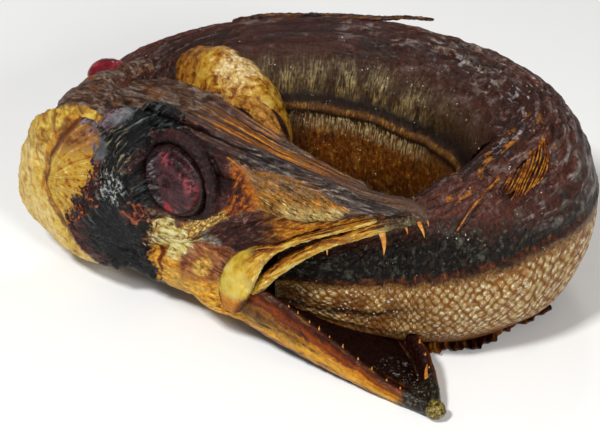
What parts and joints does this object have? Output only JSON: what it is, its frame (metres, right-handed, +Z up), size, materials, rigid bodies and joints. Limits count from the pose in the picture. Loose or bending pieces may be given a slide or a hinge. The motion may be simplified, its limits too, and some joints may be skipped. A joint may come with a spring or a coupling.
{
  "type": "smoked barracuda ring",
  "caption": "Whole smoked barracuda curled into a ring on its belly, dark glazed skin, bony head raised, its tail end held in its open jaws.",
  "frame": {"origin": "centre of the plan box, on the plane the fish lies on", "axes": "+Z up; +X along the ring's long side, from the gill cover towards the bend; the snout points to +X and -Y"},
  "size_m": [0.1952, 0.1534, 0.0729],
  "materials": {
    "skin": "dark red-brown smoked skin with an oily sheen, paler scaled belly",
    "eye": "glossy dark crimson dried eye"
  },
  "bodies": {
    "root": {"fish": "skin", "eye_right": "eye", "eye_left": "eye"}
  },
  "joints": []
}
